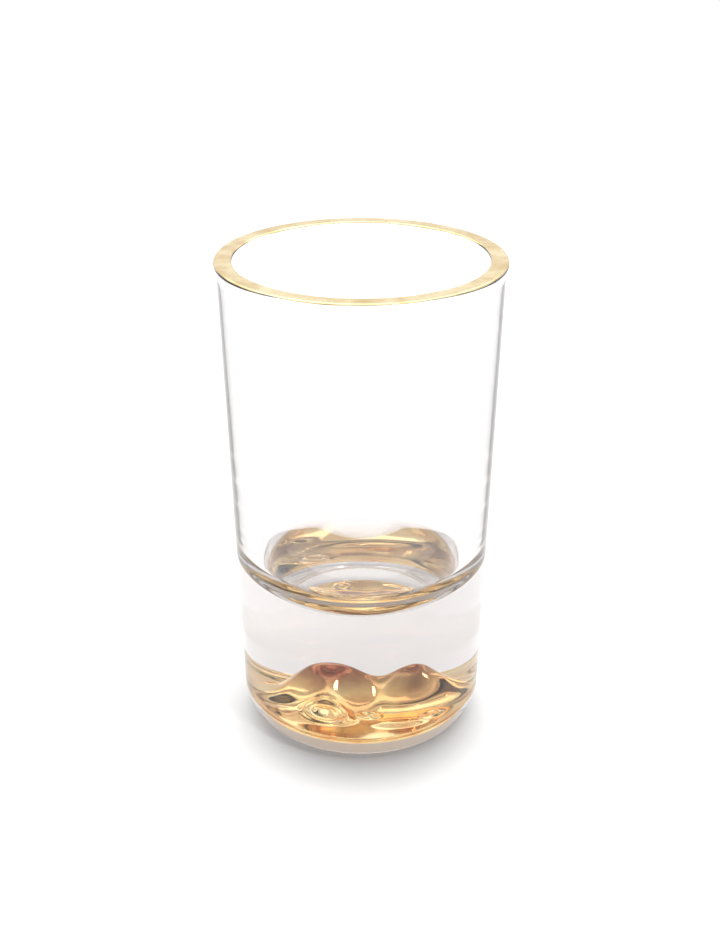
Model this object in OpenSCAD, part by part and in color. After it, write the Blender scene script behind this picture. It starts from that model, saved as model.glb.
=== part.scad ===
// Shot glass with a thick, clear base.
// The underside of the base is sunk and pressed into a small landscape of hills and craters,
// which is gilded from below and seen through the glass. The lip carries a gilded band.
// Sizes are in millimetres. The foot stands on z = 0 and the glass turns about the Z axis.

/* [Overall] */
// Height from the foot to the top of the gilded lip
glass_h = 80; // [68:1:95]
// Outer diameter of the lip
mouth_d = 45; // [43:0.1:50]
// Outer diameter that the straight wall would reach at the foot
foot_d = 40.4; // [39.8:0.1:42]

/* [Lip] */
// Width of the flat lip, from its outer edge to the cavity
lip_w = 2.8; // [2.2:0.1:3.2]
// Radius of the rounds on both edges of the lip
lip_round = 0.4; // [0.3:0.05:0.6]
// How far the lip stands proud of the straight wall
lip_flare = 0.3; // [0.1:0.05:0.6]

/* [Drinking cavity] */
// Height of the lowest point of the cavity above the foot
floor_z = 22.8; // [18:0.1:26]
// Radius of the dished bottom
dish_r = 25.5; // [21:0.5:40]
// Radius of the round between the dished bottom and the wall
corner_r = 6.6; // [3:0.1:9]
// Radius of the cavity at the top of that round
cavity_r = 17.1; // [15:0.1:17.6]

/* [Foot] */
// Height of the rounded heel
heel_h = 5.7; // [3:0.1:7]
// Width of the rounded heel
heel_w = 3.8; // [2:0.1:4]
// Height of the flat ceiling of the recess under the base
recess_z = 2.9; // [2:0.1:4]
// Radius of the ceiling of the recess
recess_r = 15.7; // [15.2:0.1:16]

/* [Pressed landscape] */
// Radius of the pressed landscape
relief_r = 15; // [14:0.1:15.2]
// Step from the ceiling of the recess up to the lowest ground of the landscape
border_step = 0.2; // [0.1:0.05:0.25]
// Height of the landscape against its normal height
relief_scale = 1; // [0.4:0.05:1.2]

/* [Gilding] */
// Thickness of the gilded band on the lip
rim_gilding_t = 0.1; // [0.05:0.05:0.2]
// Angle that the band turns down over both edges of the lip
rim_gilding_wrap = 60; // [10:5:80]
// Thickness of the gilding under the landscape
relief_gilding_t = 0.3; // [0.3:0.05:0.5]

/* [Hidden] */
$fn = 96;

// Resolution of the round stretches and of the landscape's polar grid
arc_steps = 16;
rings = 26;
sectors = 64;

// Small round where the recess meets the resting ring, and the slant of the recess's side
foot_round = 0.3;
recess_draft = 0.15;

// Clearance between the edge of the gilding and the side of the recess
gilding_gap = 0.05;

// Width of the smooth run-out from the landscape to the step around it
relief_fade = 2;

// Height over which the wall flares out to the lip
flare_h = 2.2;

// Top of the glass under the gilding
lip_top = glass_h - rim_gilding_t;

// Centres of the rounds on the lip's edges
lip_round_z = lip_top - lip_round;
lip_outer_c = mouth_d / 2 - lip_round;
lip_inner_c = mouth_d / 2 - lip_w + lip_round;

// Cavity: centre of the round in its corner, and the angle where the dish meets that round
corner_c = cavity_r - corner_r;
corner_z = floor_z + dish_r - sqrt(pow(dish_r - corner_r, 2) - pow(corner_c, 2));
dish_angle = asin(corner_c / (dish_r - corner_r));

// Hills: [x, y, half length, half width, turn, height, steepness]
HILLS = [
    [-2.9,  1.8, 4.6, 4.0,   0, 8.2, 1.35],
    [-4.6, -4.4, 3.8, 3.4,   0, 1.7,  1.2],
    [-8.8, -0.6, 2.8, 2.4,  20, 1.2,  0.9],
    [ 4.9,  2.4, 2.8, 3.4, -15, 6.7,  1.1],
    [ 8.8,  1.2, 3.0, 2.6, -20, 3.2,  0.9],
    [ 1.8,  1.4, 2.0, 2.0,   0, 1.0,  1.0],
    [ 4.8, -8.2, 3.4, 2.0, -10, 0.5,  1.8],
    [-9.8, -6.4, 2.6, 2.0, -30, 0.4,  1.4],
    [ 9.5,  8.6, 4.0, 2.4, -35, 0.9,  1.0]
];

// Craters: [x, y, ring radius, ring width, ring height, radius of the middle, height of the middle]
CRATERS = [
    [-4.4, -6.2, 2.7, 0.6,  0.5, 1.4, 0.4],
    [ 1.0, -4.8, 1.1, 0.4,  0.4, 0.4, 0.3],
    [ 8.8, -6.3, 1.4, 0.4, 0.35, 0.8, 0.3],
    [-5.3, 11.6, 1.8, 0.5,  0.4, 0.9, 0.2]
];

// Outer radius of the wall at height z
function wall_r(z) = (foot_d + (mouth_d - 2 * lip_flare - foot_d) * z / lip_top) / 2;

// Points of an elliptical arc, from one angle to the other
function arc(centre_r, centre_z, half_r, half_z, from, to) = [
    for (i = [0 : arc_steps])
        let (a = from + (to - from) * i / arc_steps)
        [centre_r + half_r * cos(a), centre_z + half_z * sin(a)]
];

// Height of one hill or crater at a point
function hill(h, x, y) =
    let (dx = x - h[0], dy = y - h[1])
    let (along = (dx * cos(h[4]) + dy * sin(h[4])) / h[2])
    let (across = (dy * cos(h[4]) - dx * sin(h[4])) / h[3])
    h[5] * exp(-pow(along * along + across * across, h[6]));
function crater(c, x, y) =
    let (d = norm([x - c[0], y - c[1]]))
    c[4] * exp(-pow((d - c[2]) / c[3], 2)) + c[6] * exp(-pow(d / c[5], 4));

function sum(values) = values * [for (v = values) 1];

// Smooth ramp from 0 at the edge of the landscape to 1 inside the run-out
function run_out(r) =
    let (t = min(1, (relief_r - r) / relief_fade))
    t * t * (3 - 2 * t);

// Height of the landscape above the recess's ceiling
function landscape(x, y) =
    border_step + relief_scale * run_out(norm([x, y])) * (
        sum([for (h = HILLS) hill(h, x, y)]) + sum([for (c = CRATERS) crater(c, x, y)])
    );

// One ring of the polar grid, with the heights of the landscape or at a fixed height
function polar(r, j) = [r * cos(360 * j / sectors), r * sin(360 * j / sectors)];
function landscape_ring(r, drop) = [
    for (j = [0 : sectors - 1])
        let (p = polar(r, j))
        [p.x, p.y, recess_z + landscape(p.x, p.y) - drop]
];
function flat_ring(r, z) = [for (j = [0 : sectors - 1]) [polar(r, j).x, polar(r, j).y, z]];

// Centre point and rings of the landscape, lowered by drop
function landscape_points(drop) = concat(
    [[0, 0, recess_z + landscape(0, 0) - drop]],
    [for (k = [1 : rings]) each landscape_ring(relief_r * k / rings, drop)]
);

// Index of sector j in ring k, where the grid starts at point first
function at(first, k, j) = first + 1 + (k - 1) * sectors + j % sectors;

// Triangles of a grid that is seen from above, and of one that is seen from below
function upper_faces(first, count) = concat(
    [for (j = [0 : sectors - 1]) [first, at(first, 1, j + 1), at(first, 1, j)]],
    [for (k = [1 : count - 1], j = [0 : sectors - 1]) each [
        [at(first, k, j), at(first, k, j + 1), at(first, k + 1, j + 1)],
        [at(first, k, j), at(first, k + 1, j + 1), at(first, k + 1, j)]
    ]]
);
function lower_faces(first, count) = [for (f = upper_faces(first, count)) [f[2], f[1], f[0]]];

// Solid from height base up to the landscape, which presses it into the glass
module landscape_block(base) {
    points = concat(landscape_points(0), flat_ring(relief_r, base));
    skirt = [for (j = [0 : sectors - 1]) each [
        [at(0, rings, j), at(0, rings, j + 1), at(0, rings + 1, j + 1)],
        [at(0, rings, j), at(0, rings + 1, j + 1), at(0, rings + 1, j)]
    ]];
    underside = [[for (j = [0 : sectors - 1]) at(0, rings + 1, j)]];
    polyhedron(points, concat(upper_faces(0, rings), skirt, underside));
}

// Half section of the glass
module glass_section() {
    foot_r = recess_r + recess_draft;
    flare_z = lip_top - flare_h;
    slant = atan2(lip_inner_c - lip_round - cavity_r, lip_round_z - corner_z);
    polygon(concat(
        [[0, recess_z], [recess_r, recess_z]],
        arc(foot_r + foot_round, foot_round, foot_round, foot_round, 180, 270),
        arc(wall_r(heel_h) - heel_w, heel_h, heel_w, heel_h, 270, 360),
        [[wall_r(flare_z), flare_z]],
        arc(lip_outer_c, lip_round_z, lip_round, lip_round, 0, 90),
        arc(lip_inner_c, lip_round_z, lip_round, lip_round, 90, 180),
        arc(corner_c, corner_z, corner_r, corner_r, -slant, dish_angle - 90),
        arc(0, floor_z + dish_r, dish_r, dish_r, dish_angle - 90, -90)
    ));
}

// Clear pressed glass: wall, thick base and the landscape sunk into its underside
module glass_body() {
    color([0.90, 0.93, 0.95, 0.35])
    difference() {
        rotate_extrude() glass_section();
        landscape_block(recess_z - 1);
    }
}

// Gold band on the lip
module rim_gilding() {
    outside = lip_round + rim_gilding_t;
    end = 90 - rim_gilding_wrap;
    color([0.86, 0.68, 0.38])
    rotate_extrude() polygon(concat(
        arc(lip_outer_c, lip_round_z, outside, outside, end, 90),
        arc(lip_inner_c, lip_round_z, outside, outside, 90, 180 - end),
        arc(lip_inner_c, lip_round_z, lip_round, lip_round, 180 - end, 90),
        arc(lip_outer_c, lip_round_z, lip_round, lip_round, 90, end)
    ));
}

// Gold coat under the landscape and the flat border around it
module relief_gilding() {
    edge_r = recess_r - gilding_gap;
    grid = rings + 2;
    upper = concat(landscape_points(0), flat_ring(relief_r, recess_z), flat_ring(edge_r, recess_z));
    lower = [for (p = upper) p - [0, 0, relief_gilding_t]];
    second = len(upper);
    edge = [for (j = [0 : sectors - 1]) each [
        [at(0, grid, j), at(0, grid, j + 1), at(second, grid, j + 1)],
        [at(0, grid, j), at(second, grid, j + 1), at(second, grid, j)]
    ]];
    color([0.84, 0.66, 0.40])
        polyhedron(concat(upper, lower), concat(upper_faces(0, grid), lower_faces(second, grid), edge));
}

glass_body();
rim_gilding();
relief_gilding();
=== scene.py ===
"""Looks of a clear shot glass with a gilded lip and a gilded landscape pressed into its thick base.

The glass and both coats of gold are remade as fine lathe and height-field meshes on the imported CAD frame.
Lengths are in metres, in the frame's own axes: Z up, the foot on z = 0, the viewer on the -Y side.
"""
import math

import bpy
import numpy as np
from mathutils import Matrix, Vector


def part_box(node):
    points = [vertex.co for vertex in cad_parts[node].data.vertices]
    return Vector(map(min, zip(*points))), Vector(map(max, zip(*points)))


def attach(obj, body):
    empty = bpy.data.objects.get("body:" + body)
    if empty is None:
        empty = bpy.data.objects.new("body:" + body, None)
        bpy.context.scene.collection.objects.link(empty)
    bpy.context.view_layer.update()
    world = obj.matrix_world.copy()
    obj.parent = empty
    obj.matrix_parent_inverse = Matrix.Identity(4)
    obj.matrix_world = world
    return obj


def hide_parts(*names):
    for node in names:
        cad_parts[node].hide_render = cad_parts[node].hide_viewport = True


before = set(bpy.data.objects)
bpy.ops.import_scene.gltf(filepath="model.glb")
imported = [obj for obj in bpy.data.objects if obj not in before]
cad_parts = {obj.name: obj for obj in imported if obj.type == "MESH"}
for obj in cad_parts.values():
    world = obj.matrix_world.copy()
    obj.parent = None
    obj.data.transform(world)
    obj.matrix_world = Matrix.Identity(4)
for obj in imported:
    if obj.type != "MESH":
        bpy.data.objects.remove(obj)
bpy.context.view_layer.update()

MM = 0.001
MICRON = 0.001 * MM

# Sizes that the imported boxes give
GLASS_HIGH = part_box("glass_body")[1]
RIM_LOW, RIM_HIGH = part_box("rim_gilding")
COAT_LOW, COAT_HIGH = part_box("relief_gilding")
LIP_TOP = GLASS_HIGH[2]
LIP_OUTER_R = GLASS_HIGH[0]
RIM_GOLD_T = RIM_HIGH[2] - GLASS_HIGH[2]
RIM_GOLD_FOOT = RIM_LOW[2]
COAT_EDGE_R = COAT_HIGH[0]

# Sizes of the glass that its box doesn't show
LIP_W = 2.8 * MM
LIP_FLARE = 0.3 * MM
LIP_FLARE_H = 2.2 * MM
LIP_ROUND = 0.4 * MM
FOOT_WALL_R = 20.2 * MM
CAVITY_FLOOR_Z = 22.8 * MM
DISH_R = 25.5 * MM
CORNER_R = 6.6 * MM
CAVITY_R = 17.1 * MM
HEEL_H = 5.7 * MM
HEEL_W = 3.8 * MM
FOOT_ROUND = 0.3 * MM
RECESS_DRAFT = 0.15 * MM
COAT_T = 0.3 * MM
RECESS_Z = COAT_LOW[2] + COAT_T
COAT_GAP = 0.05 * MM
RECESS_R = COAT_EDGE_R + COAT_GAP

# Landscape: its radius, the step around it and the smooth run-out at its edge
RELIEF_R = 15.0 * MM
STEP_H = 0.2 * MM
STEP_W = 0.12 * MM
RUN_OUT = 2.0 * MM

# How far a coat reaches into the glass, so that light meets the gold with no film of air before it
BOND = 0.004 * MM

# Half the side of the floor, and its paper's whiteness and glow away from the glass
FLOOR_HALF = 3.0
PAPER_WHITENESS = 0.97
PAPER_GLOW = 0.08

# Painted stand-ins for the light and shade that clear glass casts on the paper: a glow under the foot and a
# soft shade in front of it. Each has a strength, a centre, and radii where it starts to fade and has faded.
FOOT_GLOW = 0.38
GLOW_CENTRE = (0, 0, 0)
GLOW_INNER_R = 15.0 * MM
GLOW_OUTER_R = 19.0 * MM
SHADE_WHITENESS = 0.50
SHADE_CENTRE = (0, -6.0 * MM, 0)
SHADE_INNER_R = 11.0 * MM
SHADE_OUTER_R = 24.0 * MM

# Unit directions in the room: the middle of its bright half, and the way to the viewer
BRIGHT_WAY = (0, 0.60, 0.80)
VIEWER_WAY = (0, -0.82, 0.57)

# Camera: where it stands, its angle below the horizon in radians, its lens and sensor in millimetres, its
# sideways shift, and the nearest distance that it sees
CAMERA_PLACE = (0, -0.2003, 0.1403)
CAMERA_DIP = 0.448
CAMERA_LENS = 52.04
CAMERA_SENSOR_W = 36
CAMERA_SHIFT = -0.0014
CAMERA_NEAR = 0.01

# Heights between which a painted reflection of the dark room turns the gold on the summits from yellow to a
# brownish red
SUMMIT_REFLECTION_LOW = 6.4 * MM
SUMMIT_REFLECTION_HIGH = 10.2 * MM

# Centres of the rounds on the lip's two edges, and of the round in the corner of the cavity
LIP_ROUND_Z = LIP_TOP - LIP_ROUND
LIP_OUTER_C = LIP_OUTER_R - LIP_ROUND
LIP_INNER_C = LIP_OUTER_R - LIP_W + LIP_ROUND
CORNER_C = CAVITY_R - CORNER_R
CORNER_Z = CAVITY_FLOOR_Z + DISH_R - math.sqrt((DISH_R - CORNER_R) ** 2 - CORNER_C ** 2)

# Fineness of the meshes: sectors round the axis, then steps along each stretch of a section
LATHE_SECTORS = 288
GRID_RINGS = 150
BORDER_RINGS = 6
FOOT_STEPS = 8
ROUND_STEPS = 28
WALL_STEPS = 40
FLARE_STEPS = 10
LIP_EDGE_STEPS = 14
LIP_FLAT_STEPS = 6
CAVITY_STEPS = 30
DISH_STEPS = 36
RIM_BAND_STEPS = 40

# Edges that turn by more than this angle in degrees are shaded as sharp
SHARP_ANGLE = 40

# Brushed edges of the gold on the lip: their distance inside the coated length, and how much more the inner
# one wavers. The film thins to a share of its thickness at its edges, and rises from there at a given rate.
RIM_OUTER_MARGIN = 0.08 * MM
RIM_INNER_MARGIN = 0.10 * MM
RIM_INNER_WAVER = 1.3
RIM_EDGE_SHARE = 0.25
RIM_EDGE_RISE = 3

# Waves of those edges: height in millimetres, count round the lip, phase
RIM_WAVES = [
    (0.04, 5, 1),
    (0.03, 11, 0),
    (0.02, 23, 2),
]

# Hills in millimetres and degrees: x, y, half length, half width, turn, height, steepness
HILLS = [
    (-2.9, 1.8, 4.6, 4.0, 0, 8.2, 1.35),
    (-4.6, -4.4, 3.8, 3.4, 0, 1.7, 1.2),
    (-8.8, -0.6, 2.8, 2.4, 20, 1.2, 0.9),
    (4.9, 2.4, 2.8, 3.4, -15, 6.7, 1.1),
    (8.8, 1.2, 3.0, 2.6, -20, 3.2, 0.9),
    (1.8, 1.4, 2.0, 2.0, 0, 1.0, 1.0),
    (4.8, -8.2, 3.4, 2.0, -10, 0.5, 1.8),
    (-9.8, -6.4, 2.6, 2.0, -30, 0.4, 1.4),
    (9.5, 8.6, 4.0, 2.4, -35, 0.9, 1.0),
]

# Craters in millimetres: x, y, ring radius, ring width, ring height, radius of the middle, its height
CRATERS = [
    (-4.4, -6.2, 2.7, 0.6, 0.5, 1.4, 0.4),
    (1.0, -4.8, 1.1, 0.4, 0.4, 0.4, 0.3),
    (8.8, -6.3, 1.4, 0.4, 0.35, 0.8, 0.3),
    (-5.3, 11.6, 1.8, 0.5, 0.4, 0.9, 0.2),
]


def wall_radius(z):
    """Outer radius of the straight wall at height z."""
    return FOOT_WALL_R + (LIP_OUTER_R - LIP_FLARE - FOOT_WALL_R) * z / LIP_TOP


def arc(centre_r, centre_z, half_r, half_z, start, end, steps):
    """Points of an elliptical arc in the (r, z) half plane, with its angles in degrees."""
    angles = np.radians(np.linspace(start, end, steps + 1))
    return [(centre_r + half_r * math.cos(a), centre_z + half_z * math.sin(a)) for a in angles]


def straight(first, last, steps):
    """Points between two ends, without the ends."""
    first = np.array(first)
    whole = np.array(last) - first
    return [tuple(first + whole * i / steps) for i in range(1, steps)]


def flare(start_z, end):
    """Points of the smooth flare from the straight wall out to the lip's edge."""
    points = []
    for i in range(FLARE_STEPS):
        share = i / FLARE_STEPS
        z = start_z + (end[1] - start_z) * share
        points.append((wall_radius(z) + (end[0] - wall_radius(end[1])) * share ** 2, z))
    return points


def glass_section():
    """Half section of the glass, from the recess's edge round the outside to the cavity's axis."""
    ring_r = RECESS_R + RECESS_DRAFT
    heel_r = wall_radius(HEEL_H) - HEEL_W
    flare_z = LIP_TOP - LIP_FLARE_H
    lip_inner_r = LIP_INNER_C - LIP_ROUND
    slant = math.degrees(math.atan2(lip_inner_r - CAVITY_R, LIP_ROUND_Z - CORNER_Z))
    dish_angle = math.degrees(math.asin(CORNER_C / (DISH_R - CORNER_R)))
    heel = arc(heel_r, HEEL_H, HEEL_W, HEEL_H, 270, 360, ROUND_STEPS)
    outer_edge = arc(LIP_OUTER_C, LIP_ROUND_Z, LIP_ROUND, LIP_ROUND, 0, 90, LIP_EDGE_STEPS)
    inner_edge = arc(LIP_INNER_C, LIP_ROUND_Z, LIP_ROUND, LIP_ROUND, 90, 180, LIP_EDGE_STEPS)
    corner = arc(CORNER_C, CORNER_Z, CORNER_R, CORNER_R, -slant, dish_angle - 90, ROUND_STEPS)
    dish = arc(0, CAVITY_FLOOR_Z + DISH_R, DISH_R, DISH_R, dish_angle - 90, -90, DISH_STEPS)
    section = [(RECESS_R, RECESS_Z)]
    section += straight(section[-1], (ring_r, FOOT_ROUND), FOOT_STEPS)
    section += arc(ring_r + FOOT_ROUND, FOOT_ROUND, FOOT_ROUND, FOOT_ROUND, 180, 270, FOOT_STEPS)
    section += heel
    section += straight(heel[-1], (wall_radius(flare_z), flare_z), WALL_STEPS)
    section += flare(flare_z, outer_edge[0])
    section += outer_edge
    section += straight(outer_edge[-1], inner_edge[0], LIP_FLAT_STEPS)
    section += inner_edge
    section += straight(inner_edge[-1], corner[0], CAVITY_STEPS)
    section += corner
    section += dish[1:]
    return section


def hill(x, y, spec):
    """Height of one smooth hill at points x, y in millimetres."""
    cx, cy, half_length, half_width, turn, height, steepness = spec
    turn = math.radians(turn)
    along = ((x - cx) * math.cos(turn) + (y - cy) * math.sin(turn)) / half_length
    across = ((y - cy) * math.cos(turn) - (x - cx) * math.sin(turn)) / half_width
    return height * np.exp(-(along ** 2 + across ** 2) ** steepness)


def crater(x, y, spec):
    """Height of one ring wall with a raised middle at points x, y in millimetres."""
    cx, cy, ring_r, ring_w, ring_h, middle_r, middle_h = spec
    d = np.hypot(x - cx, y - cy)
    return ring_h * np.exp(-((d - ring_r) / ring_w) ** 2) + middle_h * np.exp(-(d / middle_r) ** 4)


def smooth_ramp(t):
    """0 below 0, 1 above 1, and smooth between."""
    t = np.clip(t, 0, 1)
    return t * t * (3 - 2 * t)


def underside_height(x, y):
    """Height of the glass's underside in the recess, with the landscape in it, at points in metres."""
    r = np.hypot(x, y)
    ground = sum(hill(x / MM, y / MM, spec) for spec in HILLS)
    ground = ground + sum(crater(x / MM, y / MM, spec) for spec in CRATERS)
    ground = ground * MM * smooth_ramp((RELIEF_R - r) / RUN_OUT)
    step = STEP_H * smooth_ramp((RELIEF_R + STEP_W - r) / STEP_W)
    return RECESS_Z + ground + step


def underside_middle():
    """The point of the underside on the glass's axis, as a row."""
    return np.array([[0, 0, float(underside_height(np.zeros(1), np.zeros(1))[0])]])


def underside_rings(outer_r):
    """Radii of the underside's polar grid: even over the landscape, close together on the step."""
    inner = np.linspace(0, RELIEF_R, GRID_RINGS + 1)[1:]
    step = np.linspace(RELIEF_R, RELIEF_R + STEP_W, BORDER_RINGS + 1)[1:]
    border = np.linspace(RELIEF_R + STEP_W, outer_r, BORDER_RINGS + 1)[1:]
    return np.concatenate([inner, step, border])


def ring_points(radius, height):
    """One ring of points, with height a number or a function of x and y."""
    angles = np.arange(LATHE_SECTORS) * 2 * math.pi / LATHE_SECTORS
    x = radius * np.cos(angles)
    y = radius * np.sin(angles)
    z = height(x, y) if callable(height) else np.full_like(x, height)
    return np.stack([x, y, z], axis=1)


def strip(first, second):
    """Faces between two rings that start at the given points, where first is the inner ring."""
    faces = []
    for j in range(LATHE_SECTORS):
        k = (j + 1) % LATHE_SECTORS
        faces.append((first + j, second + j, second + k, first + k))
    return faces


def fan(centre, ring):
    """Triangles from a centre point to the ring that starts at the given point."""
    return [(centre, ring + j, ring + (j + 1) % LATHE_SECTORS) for j in range(LATHE_SECTORS)]


def flipped(faces):
    """The same faces, seen from the other side."""
    return [tuple(reversed(face)) for face in faces]


def make_piece(name, rings, faces, material):
    """A smooth-shaded mesh piece from its point rows and faces."""
    mesh = bpy.data.meshes.new(name)
    mesh.from_pydata(np.concatenate(rings).tolist(), [], faces)
    mesh.materials.append(material)
    mesh.shade_smooth()
    mesh.set_sharp_from_angle(angle=math.radians(SHARP_ANGLE))
    mesh.validate()
    piece = bpy.data.objects.new(name, mesh)
    bpy.context.scene.collection.objects.link(piece)
    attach(piece, "root")
    return piece


def make_glass(material):
    """The glass: one closed skin, turned from its half section, with the landscape as its underside."""
    section = glass_section()
    rings = [ring_points(r, z) for r, z in section[:-1]]
    faces = []
    for i in range(len(rings) - 1):
        faces += flipped(strip(i * LATHE_SECTORS, (i + 1) * LATHE_SECTORS))
    count = len(rings) * LATHE_SECTORS
    rings.append(np.array([[0, 0, section[-1][1]]]))
    faces += fan(count, count - LATHE_SECTORS)
    count += 1
    inner = 0
    for r in reversed(underside_rings(RECESS_R)[:-1]):
        rings.append(ring_points(r, underside_height))
        faces += strip(inner, count)
        inner = count
        count += LATHE_SECTORS
    rings.append(underside_middle())
    faces += flipped(fan(count, inner))
    return make_piece("clear_glass", rings, faces, material)


def coat_skin(radii, lift):
    """Rows of points that follow the underside at the given lift: its middle, then its rings."""
    # The step round the landscape moves sideways about as far as the skin is lifted
    shrink = 1 - lift / RELIEF_R

    def height(x, y):
        return underside_height(x * shrink, y * shrink) + lift

    return [underside_middle() + np.array([0, 0, lift])] + [ring_points(r, height) for r in radii]


def skin_faces(start, ring_count):
    """Faces of one skin of the coat, seen from above, whose middle is the point at start."""
    faces = fan(start, start + 1)
    for i in range(ring_count - 1):
        first = start + 1 + i * LATHE_SECTORS
        faces += strip(first, first + LATHE_SECTORS)
    return faces


def make_relief_coat(material):
    """The gold coat: a thin closed shell that follows the underside of the glass."""
    radii = underside_rings(COAT_EDGE_R)
    last_ring = 1 + (len(radii) - 1) * LATHE_SECTORS
    lower = last_ring + LATHE_SECTORS
    rings = coat_skin(radii, BOND) + coat_skin(radii, -COAT_T)
    faces = skin_faces(0, len(radii))
    faces += flipped(skin_faces(lower, len(radii)))
    faces += strip(last_ring, lower + last_ring)
    return make_piece("gold_relief_coat", rings, faces, material)


def rim_row(angles, along, edge_length, lift):
    """One row of points round the lip: lengths along the lip's section, at one lift off the glass."""
    flat_length = LIP_OUTER_C - LIP_INNER_C
    tilt_out = np.clip((edge_length - along) / LIP_ROUND, 0, None)
    tilt_in = np.clip((along - edge_length - flat_length) / LIP_ROUND, 0, None)
    flat = np.clip(along - edge_length, 0, flat_length)
    reach = LIP_ROUND + lift
    r = LIP_OUTER_C - flat + reach * (np.sin(tilt_out) - np.sin(tilt_in))
    z = LIP_ROUND_Z + reach * np.cos(tilt_out + tilt_in)
    return np.stack([r * np.cos(angles), r * np.sin(angles), z], axis=1)


def make_rim_band(material):
    """The gold band on the lip: a closed film, thin at its edges, which waver a little as if brushed."""
    edge_length = LIP_ROUND * math.acos((RIM_GOLD_FOOT - LIP_ROUND_Z) / LIP_ROUND)
    whole_length = LIP_OUTER_C - LIP_INNER_C + 2 * edge_length
    angles = np.arange(LATHE_SECTORS) * 2 * math.pi / LATHE_SECTORS
    waver = sum(height * MM * np.sin(count * angles + phase) for height, count, phase in RIM_WAVES)
    start = RIM_OUTER_MARGIN + waver
    end = whole_length - RIM_INNER_MARGIN + RIM_INNER_WAVER * np.roll(waver, LATHE_SECTORS // 3)
    upper = []
    lower = []
    for i in range(RIM_BAND_STEPS + 1):
        turn = math.pi * i / RIM_BAND_STEPS
        along = start + (end - start) * (0.5 - 0.5 * math.cos(turn))
        thickness = RIM_GOLD_T * min(1, RIM_EDGE_SHARE + RIM_EDGE_RISE * math.sin(turn))
        upper.append(rim_row(angles, along, edge_length, thickness))
        lower.append(rim_row(angles, along, edge_length, -BOND))
    rings = upper + lower[::-1]
    faces = []
    for i in range(len(rings)):
        nxt = (i + 1) % len(rings)
        faces += flipped(strip(i * LATHE_SECTORS, nxt * LATHE_SECTORS))
    return make_piece("gold_rim_band", rings, faces, material)


def new_material(name):
    """A new node material, with its nodes and links."""
    material = bpy.data.materials.new(name)
    material.use_nodes = True
    return material, material.node_tree.nodes, material.node_tree.links


def noise(nodes, links, scale, detail, stretch=(1, 1, 1)):
    """Noise over the object's own coordinates, in metres, with scale in waves per metre."""
    where = nodes.new("ShaderNodeTexCoord")
    mapping = nodes.new("ShaderNodeMapping")
    mapping.inputs["Scale"].default_value = stretch
    texture = nodes.new("ShaderNodeTexNoise")
    texture.inputs["Scale"].default_value = scale
    texture.inputs["Detail"].default_value = detail
    links.new(where.outputs["Object"], mapping.inputs["Vector"])
    links.new(mapping.outputs["Vector"], texture.inputs["Vector"])
    return texture.outputs["Fac"]


def ramp(nodes, links, value, stops):
    """Colours over a value, from (position, colour) stops."""
    node = nodes.new("ShaderNodeValToRGB")
    node.color_ramp.elements[0].position, node.color_ramp.elements[0].color = stops[0]
    node.color_ramp.elements[1].position, node.color_ramp.elements[1].color = stops[-1]
    for position, colour in stops[1:-1]:
        node.color_ramp.elements.new(position).color = colour
    links.new(value, node.inputs["Fac"])
    return node.outputs["Color"]


def spread(nodes, links, value, low, high):
    """A value between 0 and 1 stretched to lie between low and high."""
    node = nodes.new("ShaderNodeMapRange")
    node.inputs["To Min"].default_value = low
    node.inputs["To Max"].default_value = high
    links.new(value, node.inputs["Value"])
    return node.outputs["Result"]


def height_share(nodes, links, low, high):
    """0 below the height low in the object's own coordinates, 1 above the height high."""
    where = nodes.new("ShaderNodeTexCoord")
    split = nodes.new("ShaderNodeSeparateXYZ")
    node = nodes.new("ShaderNodeMapRange")
    node.inputs["From Min"].default_value = low
    node.inputs["From Max"].default_value = high
    links.new(where.outputs["Object"], split.inputs["Vector"])
    links.new(split.outputs["Z"], node.inputs["Value"])
    return node.outputs["Result"]


def product(nodes, links, first, second):
    """Two values multiplied, kept between 0 and 1."""
    node = nodes.new("ShaderNodeMath")
    node.operation = "MULTIPLY"
    node.use_clamp = True
    links.new(first, node.inputs[0])
    links.new(second, node.inputs[1])
    return node.outputs["Value"]


def tinted(nodes, links, share, colour, tint):
    """A colour mixed with a share of a fixed tint."""
    node = nodes.new("ShaderNodeMix")
    node.data_type = "RGBA"
    node.inputs["B"].default_value = tint
    links.new(share, node.inputs["Factor"])
    links.new(colour, node.inputs["A"])
    return node.outputs["Result"]


def bump(nodes, links, value, depth):
    """A bump of the given depth in metres."""
    node = nodes.new("ShaderNodeBump")
    node.inputs["Strength"].default_value = 1.0
    node.inputs["Distance"].default_value = depth
    links.new(value, node.inputs["Height"])
    return node.outputs["Normal"]


def glass_material():
    """Clear pressed glass, with the faint waves that the mould leaves."""
    material, nodes, links = new_material("clear_pressed_glass")
    shader = nodes["Principled BSDF"]
    shader.inputs["Base Color"].default_value = (0.985, 0.98, 0.98, 1)
    shader.inputs["Transmission Weight"].default_value = 1.0
    shader.inputs["IOR"].default_value = 1.52
    shader.inputs["Roughness"].default_value = 0.0
    waves = noise(nodes, links, scale=60, detail=1.0, stretch=(1, 1, 0.5))
    links.new(bump(nodes, links, waves, 20 * MICRON), shader.inputs["Normal"])
    depth = nodes.new("ShaderNodeVolumeAbsorption")
    depth.inputs["Color"].default_value = (0.50, 0.46, 0.45, 1)
    depth.inputs["Density"].default_value = 20
    links.new(depth.outputs["Volume"], nodes["Material Output"].inputs["Volume"])
    return material


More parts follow.
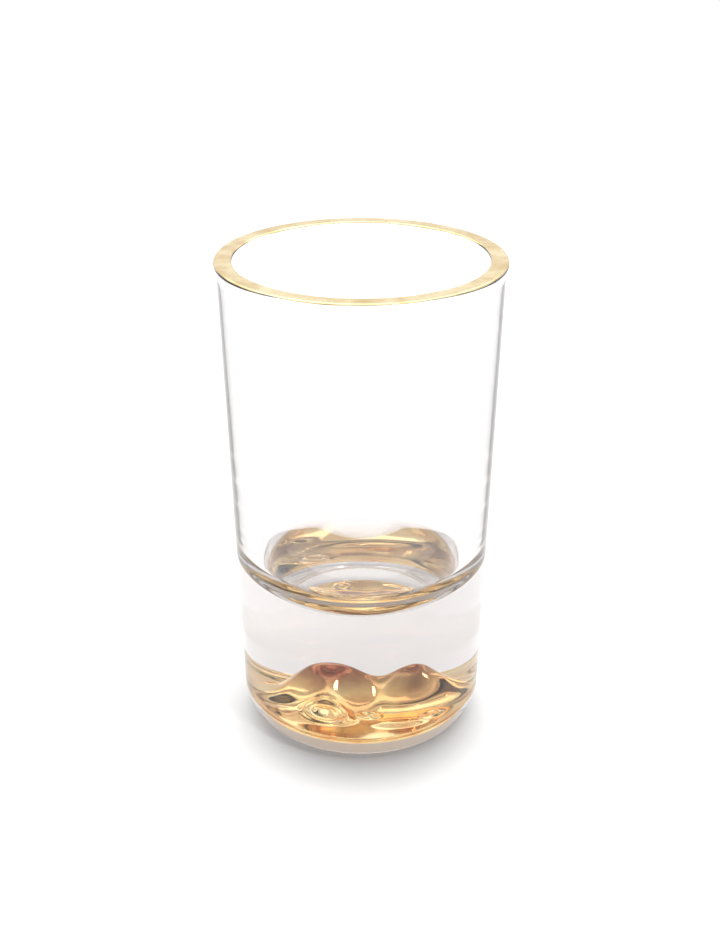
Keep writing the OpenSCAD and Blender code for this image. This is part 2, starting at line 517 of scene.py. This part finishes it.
def relief_gold_material():
    """Bright gold film, a little redder in patches, with a painted dark-red reflection of the room on the
    summits, and fine grain.
    """
    material, nodes, links = new_material("relief_gold_film")
    shader = nodes["Principled BSDF"]
    patches = noise(nodes, links, scale=260, detail=3.0)
    colour = ramp(nodes, links, patches, [
        (0.30, (0.86, 0.46, 0.18, 1)),
        (0.50, (1.00, 0.67, 0.28, 1)),
        (0.72, (1.00, 0.82, 0.42, 1)),
    ])
    # A painted reflection of the dark room: dark red mixed into the gold on the summits, broken up in
    # blotches
    reflection_blotches = noise(nodes, links, scale=420, detail=2.0)
    summits = height_share(nodes, links, SUMMIT_REFLECTION_LOW, SUMMIT_REFLECTION_HIGH)
    share = product(nodes, links, summits, spread(nodes, links, reflection_blotches, 0.45, 1.5))
    colour = tinted(nodes, links, share, colour, (0.34, 0.11, 0.06, 1))
    links.new(colour, shader.inputs["Base Color"])
    shader.inputs["Metallic"].default_value = 1.0
    links.new(spread(nodes, links, patches, 0.04, 0.14), shader.inputs["Roughness"])
    grain = noise(nodes, links, scale=2500, detail=4.0)
    links.new(bump(nodes, links, grain, 4 * MICRON), shader.inputs["Normal"])
    return material


def rim_gold_material():
    """Fired gold, satin, with fine brush marks along the lip."""
    material, nodes, links = new_material("rim_fired_gold")
    shader = nodes["Principled BSDF"]
    patches = noise(nodes, links, scale=320, detail=4.0)
    colour = ramp(nodes, links, patches, [
        (0.30, (0.67, 0.47, 0.21, 1)),
        (0.55, (0.76, 0.62, 0.36, 1)),
        (0.75, (0.82, 0.71, 0.46, 1)),
    ])
    links.new(colour, shader.inputs["Base Color"])
    shader.inputs["Metallic"].default_value = 1.0
    links.new(spread(nodes, links, patches, 0.18, 0.34), shader.inputs["Roughness"])
    brush = noise(nodes, links, scale=900, detail=3.0, stretch=(1, 1, 6))
    links.new(bump(nodes, links, brush, 6 * MICRON), shader.inputs["Normal"])
    return material


def fade(nodes, links, value, start, end, first, last):
    """A smooth change from first to last while a value goes from start to end."""
    node = nodes.new("ShaderNodeMapRange")
    node.interpolation_type = "SMOOTHSTEP"
    node.inputs["From Min"].default_value = start
    node.inputs["From Max"].default_value = end
    node.inputs["To Min"].default_value = first
    node.inputs["To Max"].default_value = last
    links.new(value, node.inputs["Value"])
    return node.outputs["Result"]


def distance_from(nodes, links, centre):
    """Distance from a centre point in the object's own coordinates."""
    where = nodes.new("ShaderNodeTexCoord")
    node = nodes.new("ShaderNodeVectorMath")
    node.operation = "DISTANCE"
    node.inputs[1].default_value = centre
    links.new(where.outputs["Object"], node.inputs[0])
    return node.outputs["Value"]


def floor_material():
    """Matt white paper, with a painted shade in front of the foot and a glow under it."""
    material, nodes, links = new_material("white_paper")
    shader = nodes["Principled BSDF"]
    from_shade = distance_from(nodes, links, SHADE_CENTRE)
    from_glow = distance_from(nodes, links, GLOW_CENTRE)
    whiteness = fade(nodes, links, from_shade, SHADE_INNER_R, SHADE_OUTER_R, SHADE_WHITENESS, PAPER_WHITENESS)
    glow = fade(nodes, links, from_glow, GLOW_INNER_R, GLOW_OUTER_R, FOOT_GLOW, PAPER_GLOW)
    links.new(whiteness, shader.inputs["Base Color"])
    links.new(glow, shader.inputs["Emission Strength"])
    shader.inputs["Emission Color"].default_value = (1.0, 0.94, 0.88, 1)
    shader.inputs["Roughness"].default_value = 0.8
    shader.inputs["Specular IOR Level"].default_value = 0.1
    return material


def make_floor():
    """A wide pale floor that the glass stands on."""
    mesh = bpy.data.meshes.new("floor")
    signs = [(-1, -1), (1, -1), (1, 1), (-1, 1)]
    corners = [(x * FLOOR_HALF, y * FLOOR_HALF, 0) for x, y in signs]
    mesh.from_pydata(corners, [], [(0, 1, 2, 3)])
    mesh.materials.append(floor_material())
    floor = bpy.data.objects.new("floor", mesh)
    bpy.context.scene.collection.objects.link(floor)


def make_softbox(name, place, aim, side, power):
    """A square softbox at place that faces aim."""
    light = bpy.data.lights.new(name, "AREA")
    light.shape = "SQUARE"
    light.size = side
    light.energy = power
    lamp = bpy.data.objects.new(name, light)
    lamp.location = place
    lamp.rotation_euler = (Vector(aim) - Vector(place)).to_track_quat("-Z", "Y").to_euler()
    bpy.context.scene.collection.objects.link(lamp)


def facing(nodes, links, direction):
    """How closely a way out into the room follows a unit direction: 1 along it, 0 against it."""
    where = nodes.new("ShaderNodeTexCoord")
    cosine = nodes.new("ShaderNodeVectorMath")
    cosine.operation = "DOT_PRODUCT"
    cosine.inputs[1].default_value = direction
    links.new(where.outputs["Generated"], cosine.inputs[0])
    share = nodes.new("ShaderNodeMapRange")
    share.inputs["From Min"].default_value = -1.0
    links.new(cosine.outputs["Value"], share.inputs["Value"])
    return share.outputs["Result"]


def make_world():
    """A pale room: bright overhead and behind the glass, dimmer in front, dark where the viewer stands."""
    world = bpy.data.worlds.new("studio")
    bpy.context.scene.world = world
    world.use_nodes = True
    nodes = world.node_tree.nodes
    links = world.node_tree.links
    room = ramp(nodes, links, facing(nodes, links, BRIGHT_WAY), [
        (0.00, (0.42, 0.39, 0.38, 1)),
        (0.35, (0.58, 0.55, 0.54, 1)),
        (0.62, (0.82, 0.82, 0.82, 1)),
        (1.00, (1.00, 1.00, 1.00, 1)),
    ])
    viewer = ramp(nodes, links, facing(nodes, links, VIEWER_WAY), [
        (0.91, (1.0, 1.0, 1.0, 1)),
        (0.99, (0.34, 0.27, 0.26, 1)),
    ])
    mix = nodes.new("ShaderNodeMix")
    mix.data_type = "RGBA"
    mix.blend_type = "MULTIPLY"
    mix.inputs["Factor"].default_value = 1.0
    links.new(room, mix.inputs["A"])
    links.new(viewer, mix.inputs["B"])
    background = nodes["Background"]
    links.new(mix.outputs["Result"], background.inputs["Color"])
    background.inputs["Strength"].default_value = 1.08


def make_studio_light():
    """The room, a wide softbox above and behind the glass, and a small lamp for the highlights."""
    make_world()
    make_softbox("overhead_softbox", place=(0, 0.30, 0.66), aim=(0, 0, 0), side=0.82, power=3.2)
    make_softbox("highlight_lamp", place=(0.16, -0.22, 0.46), aim=(0, 0, 0.03), side=0.05, power=0.35)


def make_camera():
    """The camera, in front of the glass, above its lip and looking down at it."""
    camera_data = bpy.data.cameras.new("camera")
    camera_data.sensor_width = CAMERA_SENSOR_W
    camera_data.lens = CAMERA_LENS
    camera_data.clip_start = CAMERA_NEAR
    camera_data.shift_x = CAMERA_SHIFT
    camera = bpy.data.objects.new("camera", camera_data)
    camera.location = CAMERA_PLACE
    camera.rotation_euler = (math.pi / 2 - CAMERA_DIP, 0, 0)
    bpy.context.scene.collection.objects.link(camera)
    bpy.context.scene.camera = camera


def set_look():
    """Plain colour handling, and enough light bounces for thick glass."""
    scene = bpy.context.scene
    scene.view_settings.view_transform = "Standard"
    scene.cycles.max_bounces = 24
    scene.cycles.transmission_bounces = 20
    scene.cycles.glossy_bounces = 12


glass = make_glass(glass_material())
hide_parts("glass_body")

rim_band = make_rim_band(rim_gold_material())
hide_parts("rim_gilding")

relief_coat = make_relief_coat(relief_gold_material())
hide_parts("relief_gilding")

make_floor()
make_studio_light()
make_camera()
set_look()
